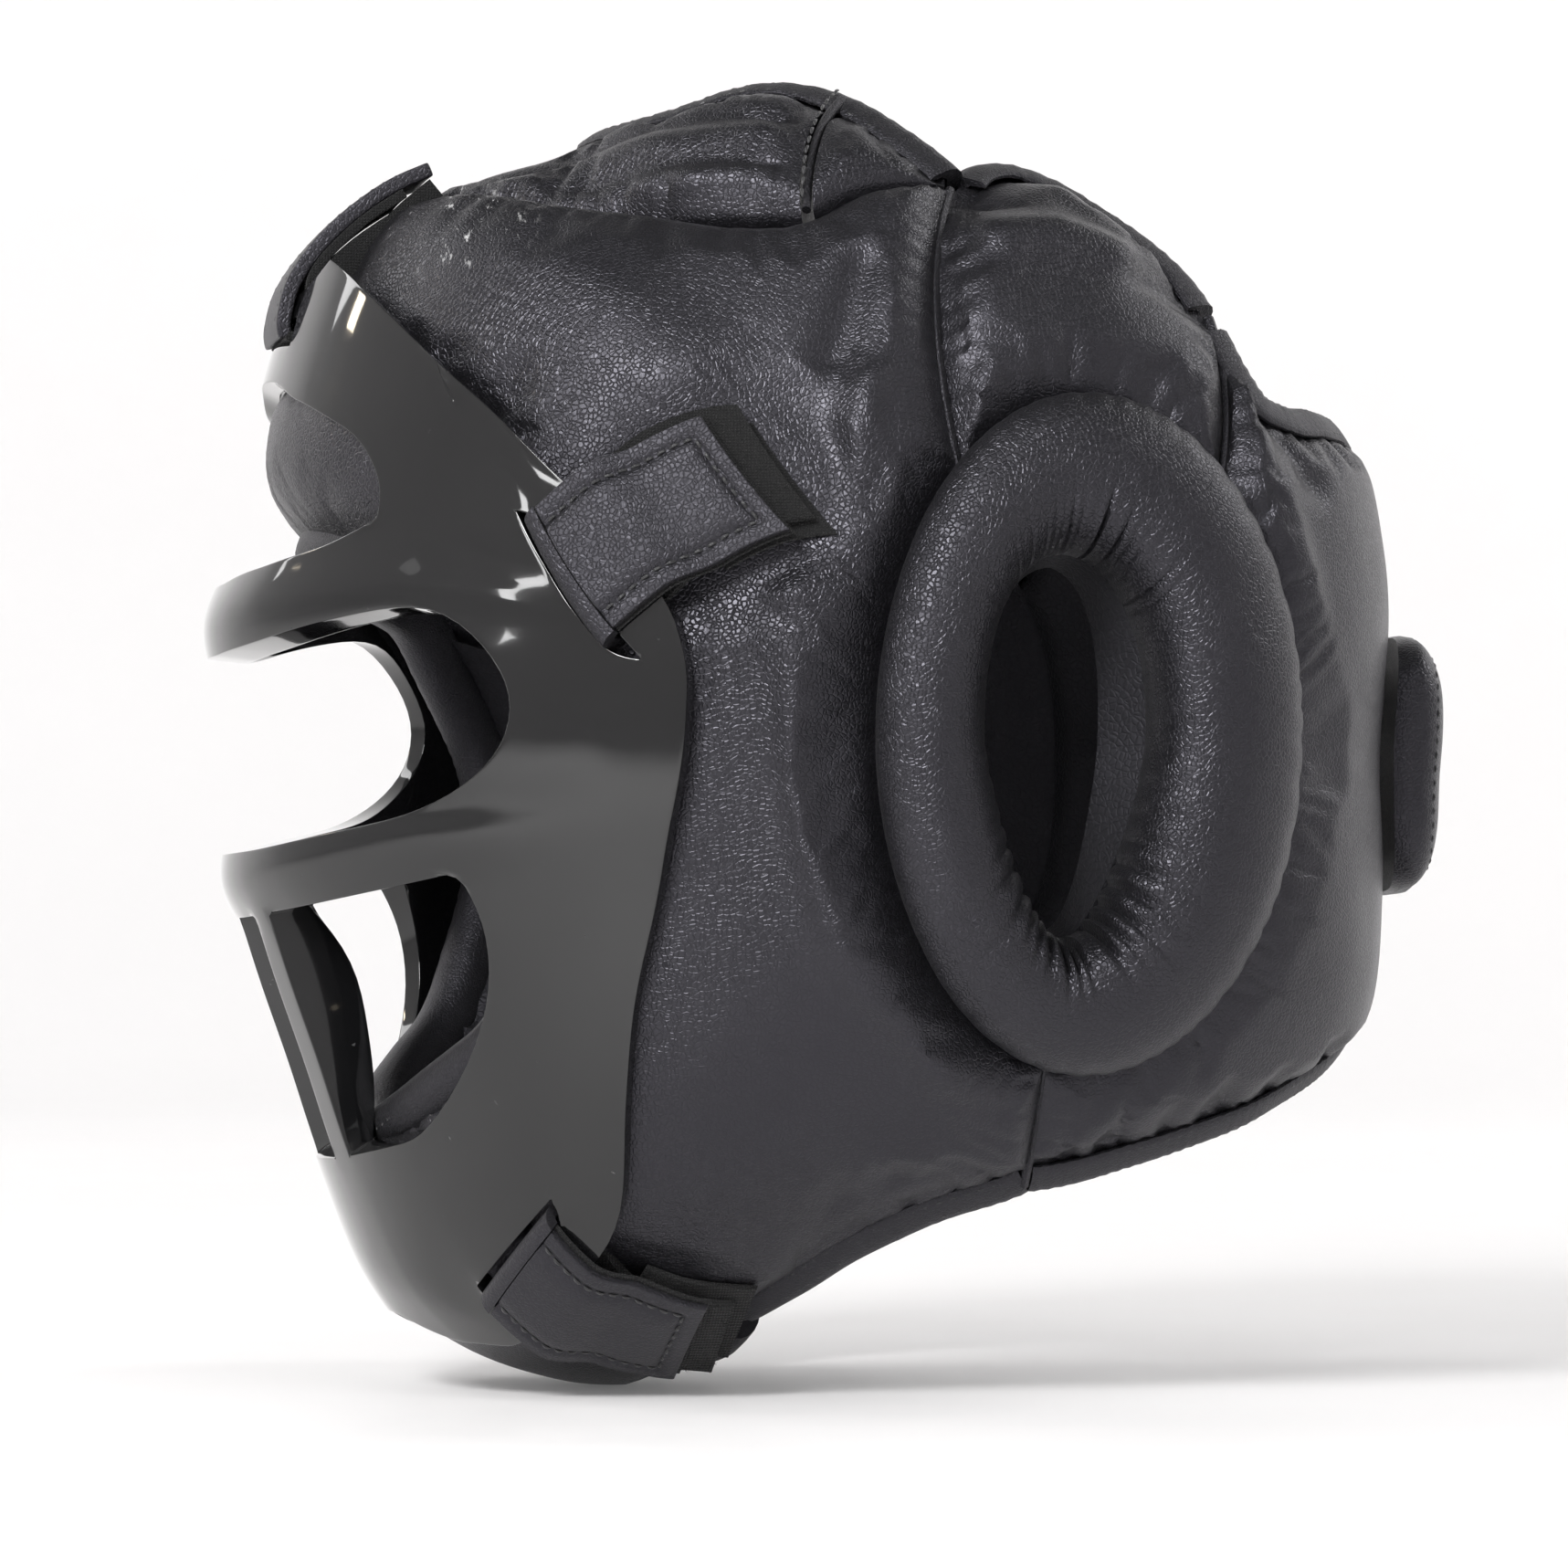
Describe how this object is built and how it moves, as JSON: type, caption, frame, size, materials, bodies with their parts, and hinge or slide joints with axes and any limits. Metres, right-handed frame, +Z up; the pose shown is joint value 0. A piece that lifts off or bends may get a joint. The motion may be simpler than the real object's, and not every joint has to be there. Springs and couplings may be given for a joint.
{
  "type": "boxing headgear with face cage",
  "caption": "Padded leather sparring headgear with ear rings and a glossy moulded face cage held by hook-and-loop straps.",
  "frame": {"origin": "middle of the head cavity, on the line between the two ears", "axes": "+Z up, the wearer faces -Y, +X is the wearer's left"},
  "size_m": [0.2238, 0.2712, 0.2759],
  "materials": {
    "shell_leather": "satin, pebble grain",
    "binding_leather": "satin",
    "strap_leather": "satin, pebble grain",
    "lining": "matte",
    "hook_and_loop": "matte, fuzzy",
    "cage_plastic": "gloss"
  },
  "bodies": {
    "shell": {"brow_pad": "shell_leather", "cheek_pad_left": "shell_leather", "cheek_pad_right": "shell_leather", "chin_pad": "shell_leather", "crown_front_pad": "shell_leather", "crown_wing_left": "shell_leather", "crown_wing_right": "shell_leather", "upper_ear_pad_left": "shell_leather", "upper_ear_pad_right": "shell_leather", "rear_pad_left": "shell_leather", "rear_pad_right": "shell_leather", "ear_base_left": "lining", "ear_base_right": "lining", "ear_ring_left": "shell_leather", "ear_ring_right": "shell_leather", "forehead_liner": "lining", "temple_liner_left": "lining", "temple_liner_right": "lining", "cheek_liner_left": "lining", "cheek_liner_right": "lining", "rear_liner_left": "lining", "rear_liner_right": "lining", "crown_binding": "binding_leather", "upper_ear_binding_left": "binding_leather", "upper_ear_binding_right": "binding_leather", "rear_binding_left": "binding_leather", "rear_binding_right": "binding_leather", "jaw_binding_left": "binding_leather", "jaw_binding_right": "binding_leather", "chin_binding": "binding_leather", "face_binding": "binding_leather", "loop_patch_upper_left": "hook_and_loop", "loop_patch_upper_right": "hook_and_loop", "loop_patch_lower_left": "hook_and_loop", "loop_patch_lower_right": "hook_and_loop", "loop_patch_forehead": "hook_and_loop", "closure_loop_patch": "hook_and_loop"},
    "face_cage": {"face_cage": "cage_plastic", "inner_leg_upper_left": "hook_and_loop", "inner_leg_upper_right": "hook_and_loop", "inner_leg_lower_left": "hook_and_loop", "inner_leg_lower_right": "hook_and_loop", "inner_leg_forehead": "hook_and_loop"},
    "strap_tab_upper_left": {"strap_tab_upper_left": "strap_leather"},
    "strap_tab_upper_right": {"strap_tab_upper_right": "strap_leather"},
    "strap_tab_lower_left": {"strap_tab_lower_left": "strap_leather"},
    "strap_tab_lower_right": {"strap_tab_lower_right": "strap_leather"},
    "strap_tab_forehead": {"strap_tab_forehead": "strap_leather"},
    "closure_flap": {"closure_flap": "shell_leather", "closure_hook_patch": "hook_and_loop"}
  },
  "joints": [
    {"name": "cage_release", "type": "slide", "parent": "shell", "child": "face_cage", "axis": [0, -1, 0], "range_m": [0, 0.12]},
    {"name": "tab_upper_left", "type": "hinge", "parent": "face_cage", "child": "strap_tab_upper_left", "pos_m": [0.08974, -0.06817, 0.03261], "axis": [0.3207, 0.4778, -0.8179], "range_deg": [0, 85]},
    {"name": "tab_upper_right", "type": "hinge", "parent": "face_cage", "child": "strap_tab_upper_right", "pos_m": [-0.08974, -0.06817, 0.03261], "axis": [0.3207, -0.4778, 0.8179], "range_deg": [0, 85]},
    {"name": "tab_lower_left", "type": "hinge", "parent": "face_cage", "child": "strap_tab_lower_left", "pos_m": [0.05611, -0.07399, -0.11005], "axis": [-0.7219, -0.3349, -0.6056], "range_deg": [0, 90]},
    {"name": "tab_lower_right", "type": "hinge", "parent": "face_cage", "child": "strap_tab_lower_right", "pos_m": [-0.05611, -0.07399, -0.11005], "axis": [-0.7219, 0.3349, 0.6056], "range_deg": [0, 90]},
    {"name": "tab_forehead", "type": "hinge", "parent": "face_cage", "child": "strap_tab_forehead", "pos_m": [0, -0.1215, 0.0895], "axis": [1, 0, 0], "range_deg": [0, 90]},
    {"name": "closure_open", "type": "hinge", "parent": "shell", "child": "closure_flap", "pos_m": [0.0367, 0.1186, -0.002], "axis": [0, 0, -1], "range_deg": [0, 100]}
  ]
}
